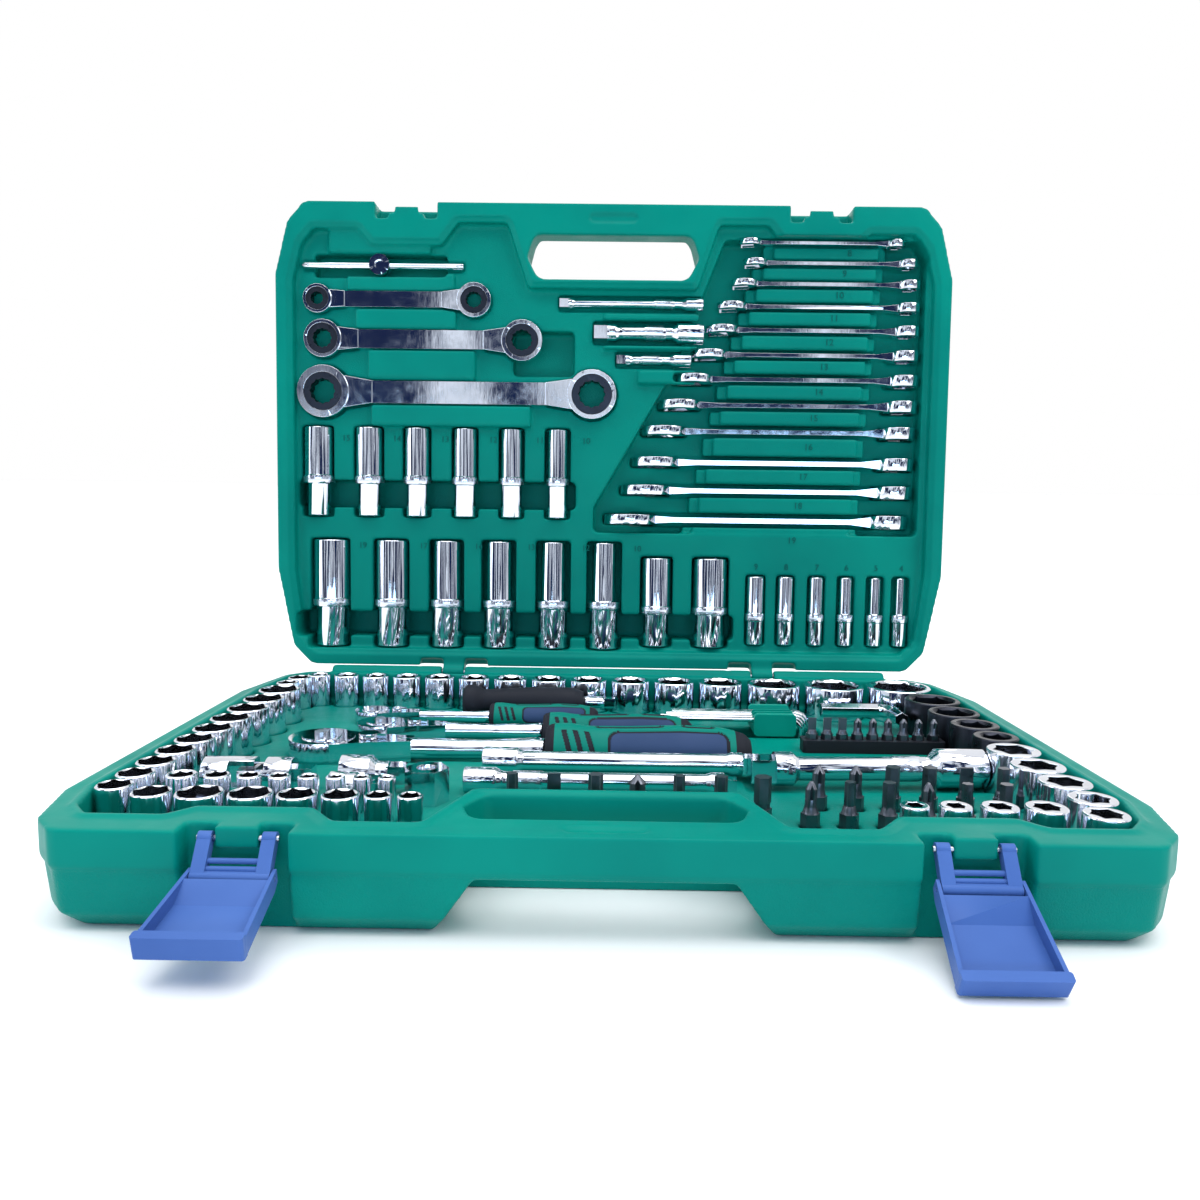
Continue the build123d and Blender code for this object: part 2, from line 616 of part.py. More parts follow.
# sizes of the two rings, their x, distance from the hinge edge, thickness
RING_WRENCHES = (("8_10", (8, 10), (-211, -99), (10.2, 12.2), 262.5, 7.0),
                 ("12_13", (12, 13), (-207.5, -64.5), (13.4, 14.6), 234.5, 8.0),
                 ("16_17", (16, 17), (-207.5, -14), (18.6, 17.6), 197.0, 9.0))


def flare(x, way, v, radius, shank_w, grow):
    """The neck where a ring's head narrows to the shank, which lies to one side of x."""
    wide = 0.9 * radius + grow
    slim = shank_w / 2 + grow
    return make_face(Polyline((x, v - wide), (x + way * 0.75 * radius, v - 0.62 * radius - grow),
                              (x + way * 1.9 * radius, v - slim), (x + way * 1.9 * radius, v + slim),
                              (x + way * 0.75 * radius, v + 0.62 * radius + grow), (x, v + wide), close=True))


def ring_wrench(sizes, xs, radii, v, thick):
    """Body and two ratchet rings of a double ring wrench."""
    z = -3.5 - thick / 2
    shank_w = radii[1] * 0.9
    body = block(xs[0] + radii[0] * 0.6, xs[1] - radii[1] * 0.6, v - shank_w / 2, v + shank_w / 2,
                 z - thick * 0.32, z + thick * 0.32)
    rings = []
    for size, x, radius in zip(sizes, xs, radii):
        spot = Pos(x, v, z)
        way = 1 if x == xs[0] else -1
        body += spot * prism(Circle(radius), -thick / 2, thick / 2)
        body += prism(flare(x, way, v, radius, shank_w, 0), z - thick * 0.4, z + thick * 0.4)
        lid_pockets.append(prism(flare(x, way, v, radius, shank_w, 1.0), z - thick / 2 - 1.5, 1))
        lid_pockets.append(Pos(x, v) * prism(Circle(radius + 1.2), z - thick / 2 - 1.5, 1))
    for size, x, radius in zip(sizes, xs, radii):
        seat = size * 0.7 + 2.4
        spot = Pos(x, v, z)
        body -= spot * prism(Circle(seat + RUNNING), -thick, thick)
        ring = prism(Circle(seat), -thick / 2 - 0.1, thick / 2 + 0.3)
        twelve_point = [prism(Rot(0, 0, turn) * hexagon(size), -thick, thick) for turn in (0, 30)]
        rings.append(spot * cut(ring, twelve_point))
    lid_pockets.append(block(xs[0], xs[1], v - shank_w / 2 - 1, v + shank_w / 2 + 1,
                             z - thick * 0.32 - FIT, 1))
    return body, rings


def t_bar():
    """Sliding bar and its head, in the lid's frame."""
    bar = Pos(-222, 286.5, -9.0) * along_x(rod(2.6, 0, 115))
    for stop in (-218, -111):
        bar += Pos(stop, 286.5, -6.6) * Sphere(0.9)
    head = Pos(-166.5, 286.5, -9.0) * (rod(7.2, -5.5, 5.5) - Rot(0, 90, 0) * Cylinder(2.6 + RUNNING, 40))
    head += Pos(-166.5, 286.5, -9.0) * prism(Rectangle(6.3, 6.3), -12.5, -5.4)
    head -= Pos(-166.5, 286.5, -9.0) * rod(3.4, 3.6, 6)
    lid_pockets.append(block(-223, -106, 282.6, 290.4, -12.4, 1))
    lid_pockets.append(block(-214, -119, 278.4, 294.6, -22.5, 1))
    return bar, head


def lid_bars():
    """Three short extension bars lying along X in the lid."""
    placed = []
    for x0, x1, v, radius, end_r, drive in ((-38, 65, 262, 3.0, 4.8, 6.35), (-13, 65.5, 241.5, 5.0, 7.6, 9.5),
                                            (3.5, 57, 222.5, 3.2, 5.0, 6.35)):
        bar = Rot(0, 0, 180) * along_x(extension(x1 - x0, radius, end_r, drive, True))
        placed.append(Pos(x1, v, -10.5) * bar)
        lid_pockets.append(block(x0 - 1, x1 + 1, v - end_r - 1, v + end_r + 1, -10.5 - end_r - FIT, 1))
    return placed


def well():
    """The deep field that holds the combination wrenches."""
    face = rounded_face([(-12, 98), (224, 98), (224, 296), (217, 308), (80, 308), (43, 212), (-12, 116)], 4)
    return prism(face, -26, 1)


def field_blocks():
    for x0, x1, v0, v1 in ((-203, -130, 294.5, 309), (-190, -113, 266, 281), (-184, -112, 239, 256),
                           (-175, -98, 204, 228), (-173, -58, 173, 190), (-6, 62, 249.5, 254.5),
                           (-6, 62, 229.5, 232), (19, 62, 205, 215)):
        lid_blocks.append(soft_block(x0, x1, v0, v1, LID_FIELD - 2, LID_BLOCK, 1.5))
    troughs = ((-227, -25, 114, 134, -30), (-227, 92, 20, 38, -34), (-71, -27, 210, 242, -24))
    for x0, x1, v0, v1, z0 in troughs:
        lid_pockets.append(soft_block(x0, x1, v0, v1, z0, 1))


# ---------------------------------------------------------------- latches
def swung(point_length, direction, y=LATCH_PIN_Y, z=LATCH_PIN_Z):
    angle = radians(direction)
    return y + point_length * cos(angle), z + point_length * sin(angle)


LEVER_HINGE = swung(LINK_LENGTH, LINK_REST)


def in_latch_frame(shape, x, origin, direction):
    """Put a shape drawn with +Y along the piece and +Z its grip side, which ends facing up."""
    y, z = origin
    return Pos(x, y, z) * Rot(direction, 0, 0) * Rot(0, 180, 0) * shape


def latch_link(x):
    """H-shaped link: two arms, two cross bars and the thick hinge bar."""
    outer = LINK_WIDTH / 2
    parts = []
    for side in (-1, 1):
        low, high = sorted((side * outer, side * (outer - ARM_W)))
        parts.append(block(low, high, 0, LINK_LENGTH, -2.2, 2.2))
        parts.append(Pos(low, 0, 0) * along_x(rod(2.6, 0, high - low)))
    for along in (9.3, 12.5):
        parts.append(Pos(-outer + 1, along, 0) * along_x(rod(1.2, 0, LINK_WIDTH - 2)))
    parts.append(Pos(-outer, LINK_LENGTH, 0) * along_x(rod(2.6, 0, LINK_WIDTH)))
    body = join(parts)
    bores = [Pos(-30, along, 0) * along_x(rod(PIN_R + RUNNING, 0, 60)) for along in (0, LINK_LENGTH)]
    return in_latch_frame(cut(body, bores), x, (LATCH_PIN_Y, LATCH_PIN_Z), LINK_REST)


def latch_lever(x, direction):
    """Tray-shaped lever: ears round the hinge bar, raised sides and a deep front lip."""
    near, far = 17.4, 20.0
    sides = []
    for side in (-1, 1):
        cheek = make_face(Polyline((side * near, -3.0), (side * far, LEVER_LENGTH),
                                   (side * (far - 1.7), LEVER_LENGTH), (side * (near - 1.5), -3.0),
                                   close=True))
        sides.append(prism(cheek, -4.6, 2.6))
    floor = make_face(Polyline((-near, 13.5), (near, 13.5), (far, LEVER_LENGTH), (-far, LEVER_LENGTH),
                               close=True))
    ramp = make_face(Polyline((4.2, 0.6), (13.9, -4.6), (15, -4.6), (15, -2.7), (13.9, -2.7), (4.2, 2.5),
                              close=True))
    lip = soft_block(-far, far, LEVER_LENGTH - 3.2, LEVER_LENGTH + 1.2, -4.8, 4.2, 1.2)
    slope = Pos(-near, 0, 0) * extrude(Plane.YZ * ramp, amount=2 * near)
    body = join(sides + [prism(floor, -4.6, -2.7), slope, lip])
    body -= Pos(-30, 0, 0) * along_x(rod(PIN_R + RUNNING, 0, 60))
    trim = make_face(Polyline((-4, -2.4), (-4, -6), (6, -6), close=True))
    body -= Pos(-30, 0, 0) * extrude(Plane.YZ * trim, amount=60)
    return in_latch_frame(body, x, LEVER_HINGE, direction)


# ---------------------------------------------------------------- build everything
# contents of the base
save("sockets_half_inch", *place_sockets(half_inch_row(), 12.7))
save("sockets_three_eighths", *place_sockets(left_column(), 9.5))
save("sockets_quarter_inch", *place_sockets(front_left_rows(), 6.35, length=30.0))
save("impact_sockets", *place_sockets(impact_column(), 12.7))
save("star_sockets", *place_sockets(star_sockets(), 6.35, recess="star"))
save("standing_bits", *standing_bits())
for name, scale, drive, x, y in RATCHETS:
    for piece, shape in ratchet(scale, drive).items():
        save(f"ratchet_{name}_{piece}", Pos(x, y, RATCHET_Z) * shape)
    ratchet_pocket(scale, drive, x, y)
save("long_extension_bars", *base_bars())
keys = hex_keys()
save("hex_keys", *keys)
save("hex_key_holder", key_holder(keys))
rack, rack_bits = bit_rack()
save("bit_rack", rack)
save("rack_bits", *rack_bits)
save("drive_adapters", *adapters())
fork_a, cross, fork_b = universal_joint()
save("universal_joint_socket_fork", fork_a)
save("universal_joint_cross", cross)
save("universal_joint_square_fork", fork_b)
handle, shaft = spinner()
save("spinner_handle", handle)
save("spinner_shaft", shaft)

# the base
base = Pos(0, BACK_Y, BASE_HEIGHT) * Rot(0, 0, 180) * shell_half(BASE_HEIGHT, BASE_HEIGHT + 1)
base -= Pos(0, BACK_Y, 0) * Rot(0, 0, 180) * prism(interior(), TRAY_Z, BASE_HEIGHT + 1)
tongue_front = FRONT_Y + TONGUE_BACK
tongues = [block(x - TONGUE_W / 2, x + TONGUE_W / 2, tongue_front, FRONT_Y + LATCH_RECESS + 1,
                 BASE_HEIGHT - 9, BASE_HEIGHT) for x in (-LATCH_X, LATCH_X)]
base_knuckles = [knuckle(x + s * KNUCKLE_W - KNUCKLE_HALF, x + s * KNUCKLE_W + KNUCKLE_HALF, False)
                 for x in HINGE_CENTRES for s in (-1, 1)]
base_knuckles += [knuckle(x0, x1, False) for x0, x1 in RIDGES]
base = base + Pos(0, BACK_Y, BASE_HEIGHT) * Rot(0, 0, 180) * bead(0, BEAD_H)
base = cut(base, knuckle_room(False))
base = join([base] + tongues + base_knuckles)
pin_bores = [Pos(x - 17, LATCH_PIN_Y, LATCH_PIN_Z) * along_x(rod(PIN_R, 0, 34)) for x in (-LATCH_X, LATCH_X)]
base = cut(base, pockets + hinge_bores() + pin_bores)
save("case_base", base)

# the lid and what it holds, drawn in the lid's frame and turned open
lid_nodes = {"deep_sockets_half_inch": deep_half(), "spark_plug_sockets": spark_plug(),
             "deep_sockets_three_eighths": deep_three_eighths(), "deep_sockets_quarter_inch": deep_quarter(),
             "combination_wrenches": combination_wrenches(), "short_extension_bars": lid_bars()}
bar, head = t_bar()
lid_nodes["t_bar"] = [bar]
lid_nodes["t_bar_head"] = [head]
for name, sizes, xs, radii, v, thick in RING_WRENCHES:
    body, rings = ring_wrench(sizes, xs, radii, v, thick)
    lid_nodes[f"ratchet_wrench_{name}"] = [body]
    for size, ring in zip(sizes, rings):
        lid_nodes[f"ratchet_ring_{size}"] = [ring]
for node, shapes in lid_nodes.items():
    save(node, *[in_lid(shape) for shape in shapes])

rib_blocks()
field_blocks()
lid = shell_half(LID_HEIGHT, LID_RECESS_HEIGHT)
lid = cut(lid, [prism(interior(), LID_FIELD, 1), well()])
lid = join([lid] + lid_blocks)
catches = [block(x - 12.5, x + 12.5, CASE_DEPTH - LATCH_RECESS - 1, CASE_DEPTH - 7.8, -10, 0)
           for x in (-LATCH_X, LATCH_X)]
noses = [block(x - 8.7, x + 8.7, CASE_DEPTH - 9, CASE_DEPTH - 3.2, -1.2, 0) for x in (-LATCH_X, LATCH_X)]
lid = join([lid] + catches + noses)
label_panel = soft_block(-185, 185, 45, 262, -LID_HEIGHT - 1, -LID_HEIGHT + 1.2, 14)
lid = cut(lid, lid_pockets + [label_panel, Pos(0, 0, -BEAD_H - 0.4) * bead(0.4, BEAD_H + 1)])
lid = Pos(0, BACK_Y, BASE_HEIGHT + RIM_GAP) * Rot(180, 0, 0) * lid
lid = cut(lid, knuckle_room(True))
lid_knuckles = [knuckle(x - KNUCKLE_HALF, x + KNUCKLE_HALF, True) for x in HINGE_CENTRES]
lid = cut(join([lid] + lid_knuckles), hinge_bores())
save("case_lid", lid.rotate(HINGE_AXIS, -OPEN_ANGLE))

# hinge and latch pins, links and levers
pin_reach = 1.5 * KNUCKLE_W
save("hinge_pins", *[Pos(x - pin_reach, HINGE_Y, HINGE_Z) * along_x(rod(HINGE_PIN_R, 0, 2 * pin_reach))
                     for x in HINGE_CENTRES])
save("latch_pins", *[Pos(x - 16.5, LATCH_PIN_Y, LATCH_PIN_Z) * along_x(rod(PIN_R, 0, 33))
                     for x in (-LATCH_X, LATCH_X)])
for side, x in (("left", -LATCH_X), ("right", LATCH_X)):
    save(f"latch_link_{side}", latch_link(x))
    save(f"latch_lever_{side}", latch_lever(x, LEVER_REST[side]))
    save(f"lever_pin_{side}", Pos(x - 17.2, *LEVER_HINGE) * along_x(rod(PIN_R, 0, 34.4)))
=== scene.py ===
"""Looks for the socket wrench set: blow-moulded teal case, polished tools, studio light.

Lengths are in metres.  The lid's own frame is (x, distance from the hinge edge, height
above the lid's rim plane); LID turns it into the row frame.
"""

import json
from math import cos, pi, radians, sin

import bmesh
import bpy
import numpy as np
from mathutils import Matrix, Vector


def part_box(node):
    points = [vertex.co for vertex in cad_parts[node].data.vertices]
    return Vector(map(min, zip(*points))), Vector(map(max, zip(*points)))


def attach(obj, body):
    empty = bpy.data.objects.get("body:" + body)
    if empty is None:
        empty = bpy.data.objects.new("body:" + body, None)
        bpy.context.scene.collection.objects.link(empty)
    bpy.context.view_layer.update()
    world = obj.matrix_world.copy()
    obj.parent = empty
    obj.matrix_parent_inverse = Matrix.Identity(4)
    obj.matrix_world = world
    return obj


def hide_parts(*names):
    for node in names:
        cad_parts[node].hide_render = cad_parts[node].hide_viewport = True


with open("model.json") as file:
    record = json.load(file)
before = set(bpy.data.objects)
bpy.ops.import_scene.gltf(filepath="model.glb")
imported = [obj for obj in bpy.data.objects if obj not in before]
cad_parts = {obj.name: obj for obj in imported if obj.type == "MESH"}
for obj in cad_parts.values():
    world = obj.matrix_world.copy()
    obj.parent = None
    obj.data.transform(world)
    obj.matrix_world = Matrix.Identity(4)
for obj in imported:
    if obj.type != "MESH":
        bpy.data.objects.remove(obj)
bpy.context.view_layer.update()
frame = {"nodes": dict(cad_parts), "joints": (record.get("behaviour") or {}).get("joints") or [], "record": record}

NODES = frame["nodes"]
JOINTS = {joint["name"]: joint for joint in frame["joints"]}
BODY_OF = {node: body for body, nodes in frame["record"]["behaviour"]["bodies"].items() for node in nodes}
MM = 0.001
TOUCHING = 0.01 * MM   # vertices closer than this are one

# ---------------------------------------------------------------- the lid's own frame
HINGE = Vector(JOINTS["lid_hinge"]["pos_m"])
OPEN_ANGLE = radians(-JOINTS["lid_hinge"]["range_deg"][0])
CASE_DEPTH = 329 * MM
RIM_GAP = 0.4 * MM
CLOSED = Matrix.Translation((0, CASE_DEPTH / 2, HINGE.z + RIM_GAP)) @ Matrix.Rotation(pi, 4, "X")
LID = (Matrix.Translation(HINGE) @ Matrix.Rotation(-OPEN_ANGLE, 4, "X")
       @ Matrix.Translation(-HINGE) @ CLOSED)
UPRIGHT = Matrix.Identity(4)


# ---------------------------------------------------------------- materials
def shader(name, colour, roughness, metallic=0.0):
    """A new material with its tree, Principled shader and object coordinates."""
    material = bpy.data.materials.new(name)
    material.use_nodes = True
    tree = material.node_tree
    surface = tree.nodes["Principled BSDF"]
    surface.inputs["Base Color"].default_value = (*colour, 1)
    surface.inputs["Roughness"].default_value = roughness
    surface.inputs["Metallic"].default_value = metallic
    return material, tree, surface


def place(tree):
    """Object coordinates."""
    return tree.nodes.new("ShaderNodeTexCoord").outputs["Object"]


def noise(tree, scale, detail=3.0, stretch=None):
    """Noise over object space, at so many cells to the metre."""
    node = tree.nodes.new("ShaderNodeTexNoise")
    node.inputs["Scale"].default_value = scale
    node.inputs["Detail"].default_value = detail
    source = place(tree)
    if stretch:
        mapping = tree.nodes.new("ShaderNodeMapping")
        mapping.inputs["Scale"].default_value = stretch
        tree.links.new(source, mapping.inputs["Vector"])
        source = mapping.outputs["Vector"]
    tree.links.new(source, node.inputs["Vector"])
    return node.outputs["Fac"]


def spread(tree, value, low, high, to_low, to_high):
    """Map a value's range low..high on to to_low..to_high."""
    node = tree.nodes.new("ShaderNodeMapRange")
    node.inputs["From Min"].default_value = low
    node.inputs["From Max"].default_value = high
    node.inputs["To Min"].default_value = to_low
    node.inputs["To Max"].default_value = to_high
    tree.links.new(value, node.inputs["Value"])
    return node.outputs["Result"]


def blend_colours(tree, amount, first, second):
    """The first colour where the amount is 0, the second where it is 1."""
    node = tree.nodes.new("ShaderNodeMix")
    node.data_type = "RGBA"
    node.inputs["A"].default_value = (*first, 1)
    node.inputs["B"].default_value = (*second, 1)
    tree.links.new(amount, node.inputs["Factor"])
    return node.outputs["Result"]


def bump(tree, surface, height, distance):
    """Add relief to a shader, on top of any it has."""
    node = tree.nodes.new("ShaderNodeBump")
    node.inputs["Distance"].default_value = distance
    node.inputs["Strength"].default_value = 1.0
    tree.links.new(height, node.inputs["Height"])
    previous = surface.inputs["Normal"].links
    if previous:
        tree.links.new(previous[0].from_socket, node.inputs["Normal"])
    tree.links.new(node.outputs["Normal"], surface.inputs["Normal"])


def plastic(name, colour, deep, roughness, grain=900, grain_depth=0.05 * MM, shine=0.10):
    """Moulded plastic: slight cloudiness in colour, uneven gloss, fine surface grain."""
    material, tree, surface = shader(name, colour, roughness)
    surface.inputs["Specular IOR Level"].default_value = shine
    cloud = spread(tree, noise(tree, 14), 0.35, 0.65, 0, 1)
    tree.links.new(blend_colours(tree, cloud, colour, deep), surface.inputs["Base Color"])
    gloss = spread(tree, noise(tree, 60), 0.3, 0.7, roughness - 0.05, roughness + 0.08)
    tree.links.new(gloss, surface.inputs["Roughness"])
    bump(tree, surface, noise(tree, grain, 4), grain_depth)
    return material


def case_plastic(name, edge_axis, edge, sense):
    """The case's plastic: smooth by the rim and spark-eroded grain past the edge."""
    material = plastic(name, CASE_COLOUR, CASE_DEEP, 0.36, 500, 0.03 * MM, 0.06)
    tree = material.node_tree
    surface = tree.nodes["Principled BSDF"]
    split = tree.nodes.new("ShaderNodeSeparateXYZ")
    tree.links.new(place(tree), split.inputs["Vector"])
    mask = spread(tree, split.outputs[edge_axis], edge, edge + sense * 0.6 * MM, 0, 1)
    grain = tree.nodes.new("ShaderNodeMath")
    grain.operation = "MULTIPLY"
    tree.links.new(noise(tree, 1300, 2), grain.inputs[0])
    tree.links.new(mask, grain.inputs[1])
    bump(tree, surface, grain.outputs["Value"], 0.25 * MM)
    return material


def steel(name, colour, roughness, scratches=0.04, grain=160):
    """Plated or bare steel: uneven polish and faint directional marks."""
    material, tree, surface = shader(name, colour, roughness, 1.0)
    smoothest = max(roughness - scratches, 0.03)
    polish = spread(tree, noise(tree, grain, 5), 0.3, 0.7, smoothest, roughness + scratches)
    tree.links.new(polish, surface.inputs["Roughness"])
    tint = spread(tree, noise(tree, 40), 0.3, 0.7, 0, 1)
    dull = tuple(channel * 0.86 for channel in colour)
    tree.links.new(blend_colours(tree, tint, colour, dull), surface.inputs["Base Color"])
    bump(tree, surface, noise(tree, 350, 2, (1, 1, 0.25)), 0.015 * MM)
    return material


CASE_COLOUR = (0.0, 0.225, 0.175)
CASE_DEEP = (0.0, 0.185, 0.15)
SMOOTH_BAND = 16.5 * MM    # smooth this far from each rim, grained past it

base_green = case_plastic("case_plastic_base", "Z", HINGE.z - SMOOTH_BAND, -1)
lid_back = LID @ Vector((0, 0, -SMOOTH_BAND))
lid_green = case_plastic("case_plastic_lid", "Y", lid_back.y, 1)
latch_blue = plastic("latch_plastic", (0.07, 0.15, 0.42), (0.05, 0.115, 0.35), 0.36, 700, 0.02 * MM)
holder_green = plastic("holder_plastic", (0.0, 0.27, 0.20), (0.0, 0.22, 0.17), 0.42)
black_plastic = plastic("black_plastic", (0.012, 0.013, 0.017), (0.018, 0.02, 0.026), 0.4)
chrome = steel("chrome_plate", (0.80, 0.83, 0.90), 0.07)
satin = steel("satin_steel", (0.52, 0.54, 0.60), 0.30, 0.08)
black_oxide = steel("black_oxide", (0.035, 0.038, 0.05), 0.34, 0.10)
bit_grey = steel("bit_steel", (0.15, 0.16, 0.19), 0.36, 0.10)
knurl_steel = steel("knurled_steel", (0.62, 0.68, 0.80), 0.38, 0.06)
# the numbers are moulded in the case's own plastic; their darker green is painted shade on the raised numbers
shaded_number_green = plastic("numbers_painted_shade", (0.0, 0.12, 0.10), (0.0, 0.10, 0.085), 0.5)
rubber = plastic("grip_rubber", (0.012, 0.014, 0.02), (0.02, 0.022, 0.03), 0.55, 1100, 0.06 * MM)
grip_green = plastic("grip_green", (0.0, 0.20, 0.15), (0.0, 0.17, 0.13), 0.45)
grip_inlay = plastic("grip_inlay", (0.032, 0.062, 0.145), (0.024, 0.05, 0.12), 0.5, 1100, 0.08 * MM)

FINISH = {"chrome_steel": chrome, "satin_steel": satin, "black_steel": black_oxide, "bit_steel": bit_grey,
          "latch_plastic": latch_blue, "holder_plastic": holder_green, "rack_plastic": black_plastic,
          "grip_rubber": rubber, "button_plastic": black_plastic, "case_plastic": base_green}
SLOT_OF = {part["node"]: part["material_slot"] for part in frame["record"]["subparts"]}


# ---------------------------------------------------------------- mesh helpers
def object_from(name, mesh, material, body):
    """A new piece, in the row frame, riding on a body."""
    thing = bpy.data.objects.new(name, mesh)
    bpy.context.scene.collection.objects.link(thing)
    if not mesh.materials:
        mesh.materials.append(material)
    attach(thing, body)
    return thing


def baked(thing):
    """The object's mesh with its modifiers applied."""
    bpy.context.view_layer.update()
    depsgraph = bpy.context.evaluated_depsgraph_get()
    return bpy.data.meshes.new_from_object(thing.evaluated_get(depsgraph))


def finger_slot(centre_y, top):
    """The long oval pressed into the face of a grip bar, as a cutting tool."""
    half_length, half_width, depth = 14 * MM, 3.4 * MM, 1.3 * MM
    corners = 48
    outline = []
    for step in range(corners):
        angle = 2 * pi * step / corners
        end = half_length if cos(angle) > 0 else -half_length
        outline.append((end + half_width * cos(angle), centre_y + half_width * sin(angle)))
    work = bmesh.new()
    face = work.faces.new([work.verts.new((x, y, top - depth)) for x, y in outline])
    raised = bmesh.ops.extrude_face_region(work, geom=[face])["geom"]
    lifted = [part for part in raised if isinstance(part, bmesh.types.BMVert)]
    bmesh.ops.translate(work, vec=(0, 0, 3 * depth), verts=lifted)
    bmesh.ops.recalc_face_normals(work, faces=work.faces)
    mesh = bpy.data.meshes.new("finger_slot")
    work.to_mesh(mesh)
    work.free()
    cutter = bpy.data.objects.new("finger_slot", mesh)
    bpy.context.scene.collection.objects.link(cutter)
    return cutter


# how a blow-moulded half is softened
VOXEL = 1.15 * MM
SMOOTHING, PASSES = 0.5, 7
FACES_KEPT = 0.20


def moulded_shell(node, placement, material, slot_y, slot_top):
    """A blow-moulded half: the CAD half with every edge softened as a mould leaves it."""
    mesh = NODES[node].data.copy()
    mesh.transform(placement.inverted())
    work = bpy.data.objects.new("work", mesh)
    bpy.context.scene.collection.objects.link(work)
    weld = work.modifiers.new("weld", "WELD")
    weld.merge_threshold = TOUCHING
    cutter = finger_slot(slot_y, slot_top)
    press = work.modifiers.new("press", "BOOLEAN")
    press.object = cutter
    press.solver = "EXACT"
    remesh = work.modifiers.new("remesh", "REMESH")
    remesh.mode = "VOXEL"
    remesh.voxel_size = VOXEL
    smooth = work.modifiers.new("smooth", "SMOOTH")
    smooth.factor = SMOOTHING
    smooth.iterations = PASSES
    thin = work.modifiers.new("thin", "DECIMATE")
    thin.ratio = FACES_KEPT
    shell = baked(work)
    bpy.data.objects.remove(work)
    bpy.data.objects.remove(cutter)
    shell.transform(placement)
    shell.materials.clear()
    shell.shade_smooth()
    piece = object_from(node + "_moulded", shell, material, BODY_OF[node])
    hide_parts(node)


EDGE_SEGMENTS = 2
EDGE_ANGLE = radians(28)   # flatter edges than this stay as they are


def soften(node, width):
    """Round a CAD node's edges as machining or moulding leaves them."""
    thing = NODES[node]
    weld = thing.modifiers.new("weld", "WELD")
    weld.merge_threshold = TOUCHING
    bevel = thing.modifiers.new("bevel", "BEVEL")
    bevel.width = width
    bevel.segments = EDGE_SEGMENTS
    bevel.limit_method = "ANGLE"
    bevel.angle_limit = EDGE_ANGLE
    bevel.harden_normals = True
    bevel.use_clamp_overlap = True


def dress(node, material):
    """Give a CAD node its material and slot."""
    mesh = NODES[node].data
    mesh.materials.clear()
    mesh.materials.append(material)


def loose_boxes(node, placement):
    """Lowest and highest corners of each solid of a node, in the placement's own frame."""
    work = bmesh.new()
    work.from_mesh(NODES[node].data)
    bmesh.ops.transform(work, matrix=placement.inverted(), verts=work.verts)
    bmesh.ops.remove_doubles(work, verts=work.verts, dist=TOUCHING)
    work.verts.index_update()
    work.verts.ensure_lookup_table()
    seen = set()
    boxes = []
    for start in work.verts:
        if start.index in seen:
            continue
        seen.add(start.index)
        waiting = [start]
        places = []
        while waiting:
            vert = waiting.pop()
            places.append(vert.co.copy())
            for edge in vert.link_edges:
                other = edge.other_vert(vert)
                if other.index not in seen:
                    seen.add(other.index)
                    waiting.append(other)
        boxes.append((Vector(map(min, *places)), Vector(map(max, *places))))
    work.free()
    return boxes


def ring_mesh(rows):
    """A closed-round surface from rows of points."""
    around = len(rows[0])
    points = [point for row in rows for point in row]
    faces = []
    for row in range(len(rows) - 1):
        for step in range(around):
            after = (step + 1) % around
            faces.append((row * around + step, row * around + after,
                          (row + 1) * around + after, (row + 1) * around + step))
    return points, faces


# ---------------------------------------------------------------- knurled bands
ALONG_X = Matrix.Rotation(radians(90), 4, "Y")
ALONG_V = Matrix.Rotation(radians(-90), 4, "X")
KNURL_PITCH = 0.95 * MM
KNURL_DEPTH = 0.16 * MM
STEPS_PER_TOOTH = 4
# a deep socket's band: its place as a share of the length from the end by the hinge, moved back a little
RING_SHARE = 0.42
RING_BACK = 0.7 * MM
RING_LENGTH = 4.6 * MM
RING_PROUD = 0.05 * MM
# an extension bar's band, in millimetres: its middle past the socket end, its length and height
BAR_BAND_MIDDLE, BAR_BAND_LENGTH, BAR_BAND_PROUD = 16.5, 13, 0.55
# socket end, radius of that end and radius of the bar, in millimetres of the half that stores it
SHORT_BARS = (((65, 262, -10.5), 4.8, 3.0), ((65.5, 241.5, -10.5), 7.6, 5.0),
              ((57, 222.5, -10.5), 5.0, 3.2))
LONG_BAR = ((199, -26, 34), 10.5, 6.2)
LONG_BAR_TURN = 183
LIGHT_BAR = ((-72, -50, 31), 6.6, 4.6)
LIGHT_BAR_TURN = 0


def knurled_band(radius, length):
    """Diamond knurling about Z, centred on the origin, its ends turned down into the tool."""
    teeth = round(2 * pi * radius / KNURL_PITCH)
    around = teeth * STEPS_PER_TOOTH
    count = max(8, round(length / (KNURL_PITCH / STEPS_PER_TOOTH)))
    rows = []
    for row in range(count + 1):
        height = length * (row / count - 0.5)
        points = []
        for step in range(around):
            angle = 2 * pi * step / around
            lean = height / KNURL_PITCH
            turns = teeth * angle / (2 * pi)
            first = abs((turns + lean) % 1 - 0.5) * 2
            second = abs((turns - lean) % 1 - 0.5) * 2
            reach = radius - KNURL_DEPTH * (1 - min(1, 1.5 * min(first, second)))
            if row in (0, count):
                reach = radius - 4 * KNURL_DEPTH
            points.append((reach * cos(angle), reach * sin(angle), height))
        rows.append(points)
    return ring_mesh(rows)


def knurling(name, bands, body):
    """bands: (radius, length, matrix in the row frame)."""
    points, faces = [], []
    for radius, length, matrix in bands:
        band_points, band_faces = knurled_band(radius, length)
        start = len(points)
        points += [matrix @ Vector(point) for point in band_points]
        faces += [tuple(start + index for index in face) for face in band_faces]
    mesh = bpy.data.meshes.new(name)
    mesh.from_pydata(points, [], faces)
    mesh.shade_smooth()
    object_from(name, mesh, knurl_steel, body)


